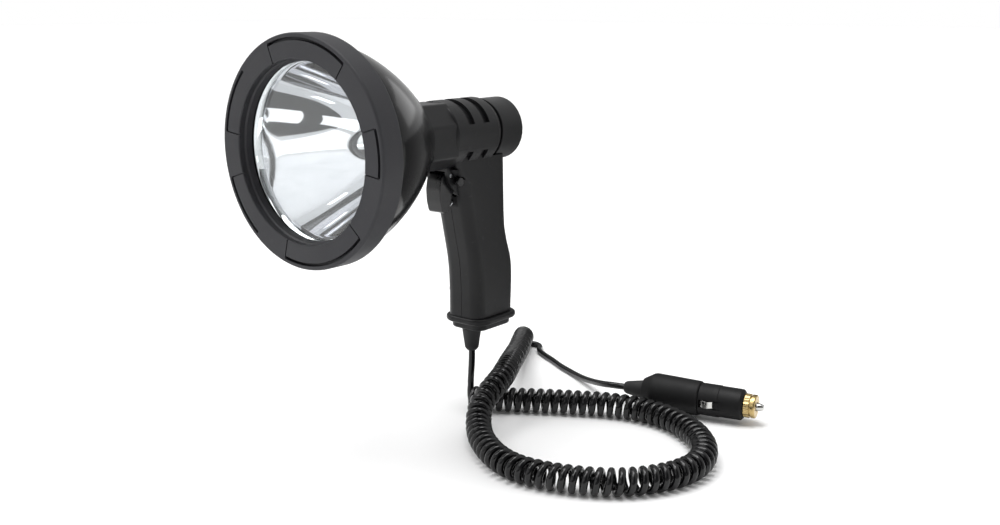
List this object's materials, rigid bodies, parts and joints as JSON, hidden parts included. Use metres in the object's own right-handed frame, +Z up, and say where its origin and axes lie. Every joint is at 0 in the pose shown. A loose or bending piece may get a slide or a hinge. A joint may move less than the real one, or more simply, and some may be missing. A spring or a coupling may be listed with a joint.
{
  "type": "handheld spotlight",
  "caption": "Pistol-grip LED spotlight: round head with a reflector behind glass, trigger switch, curly cord and a 12 V plug.",
  "frame": {"origin": "middle of the grip, where the hand holds the lamp", "axes": "the beam leaves along -Y, +Z is up, +X is the lamp's left side, on which the lock button sits"},
  "size_m": [0.2705, 0.3021, 0.2709],
  "materials": {
    "bezel_plastic": "satin charcoal",
    "bowl_plastic": "glossy black",
    "shell_plastic": "satin black",
    "control_plastic": "black",
    "lens_glass": "clear",
    "rubber_black": "matte",
    "reflector_mirror": "vacuum-metallised",
    "aluminium": "machined",
    "board_white": "solder mask",
    "led_phosphor": "silicone dome",
    "board_green": "solder mask",
    "steel": "bright",
    "black_steel": "black oxide",
    "cable_pvc": "black",
    "red_pvc": "red",
    "brass": "turned",
    "nickel": "plated",
    "fuse_glass": "clear"
  },
  "bodies": {
    "lamp": {"bezel_ring": "bezel_plastic", "lens": "lens_glass", "lens_gasket": "rubber_black", "reflector": "reflector_mirror", "head_bowl": "bowl_plastic", "heat_sink": "aluminium", "led_board": "board_white", "led_emitter": "led_phosphor", "led_wire_red": "red_pvc", "led_wire_black": "cable_pvc", "driver_board": "board_green", "body_shell_left": "shell_plastic", "body_shell_right": "shell_plastic", "shell_screw_1": "black_steel", "shell_screw_2": "black_steel", "shell_screw_3": "black_steel", "shell_screw_4": "black_steel", "rear_cap_seal": "rubber_black", "trigger_pin": "steel", "trigger_spring": "steel", "trigger_switch": "control_plastic", "grip_base": "shell_plastic", "base_screw_1": "black_steel", "base_screw_2": "black_steel", "strain_relief": "rubber_black", "supply_wire_red": "red_pvc", "supply_wire_black": "cable_pvc", "switched_wire": "red_pvc", "cord_lead": "cable_pvc", "curly_cord": "cable_pvc", "cord_tail": "cable_pvc", "plug_strain_relief": "rubber_black", "plug_body": "shell_plastic", "plug_sleeve": "shell_plastic", "plug_pin_spring": "steel"},
    "trigger": {"trigger": "control_plastic"},
    "plunger": {"switch_plunger": "board_white"},
    "lock": {"lock_button": "control_plastic"},
    "cap": {"rear_cap": "shell_plastic"},
    "nose_ring": {"plug_nose_ring": "brass"},
    "center_pin": {"plug_center_pin": "nickel", "plug_fuse": "fuse_glass"},
    "contact_left": {"plug_contact_left": "nickel"},
    "contact_right": {"plug_contact_right": "nickel"}
  },
  "joints": [
    {"name": "trigger_pull", "type": "hinge", "parent": "lamp", "child": "trigger", "pos_m": [0, -0.0375, 0.058], "axis": [1, 0, 0], "range_deg": [0, 12], "stiffness_Nm_per_rad": 0.3, "springref_deg": -5.73, "deforming": ["trigger_spring"]},
    {"name": "plunger_slide", "type": "slide", "parent": "lamp", "child": "plunger", "axis": [0, 1, 0], "range_m": [0, 0.0015]},
    {"name": "lock_push", "type": "slide", "parent": "lamp", "child": "lock", "axis": [-1, 0, 0], "range_m": [0, 0.0022], "stiffness_N_per_m": 200, "springref_m": -0.002},
    {"name": "cap_turn", "type": "hinge", "parent": "lamp", "child": "cap", "pos_m": [0, 0.014, 0.085], "axis": [0, 1, 0], "continuous": true},
    {"name": "nose_ring_turn", "type": "hinge", "parent": "lamp", "child": "nose_ring", "pos_m": [0.0847, 0.0664, -0.1024], "axis": [0.9736, 0.2283, 0], "continuous": true},
    {"name": "center_pin_press", "type": "slide", "parent": "lamp", "child": "center_pin", "axis": [-0.9736, -0.2283, 0], "range_m": [0, 0.003], "stiffness_N_per_m": 900, "springref_m": -0.002, "deforming": ["plug_pin_spring"]},
    {"name": "contact_left_press", "type": "slide", "parent": "lamp", "child": "contact_left", "axis": [-0.2283, 0.9736, 0], "range_m": [0, 0.0012], "stiffness_N_per_m": 1500, "springref_m": -0.0005},
    {"name": "contact_right_press", "type": "slide", "parent": "lamp", "child": "contact_right", "axis": [0.2283, -0.9736, 0], "range_m": [0, 0.0012], "stiffness_N_per_m": 1500, "springref_m": -0.0005}
  ],
  "couplings": [
    {"joint": "plunger_slide", "follows": "trigger_pull", "m_per_rad": 0.00716}
  ]
}
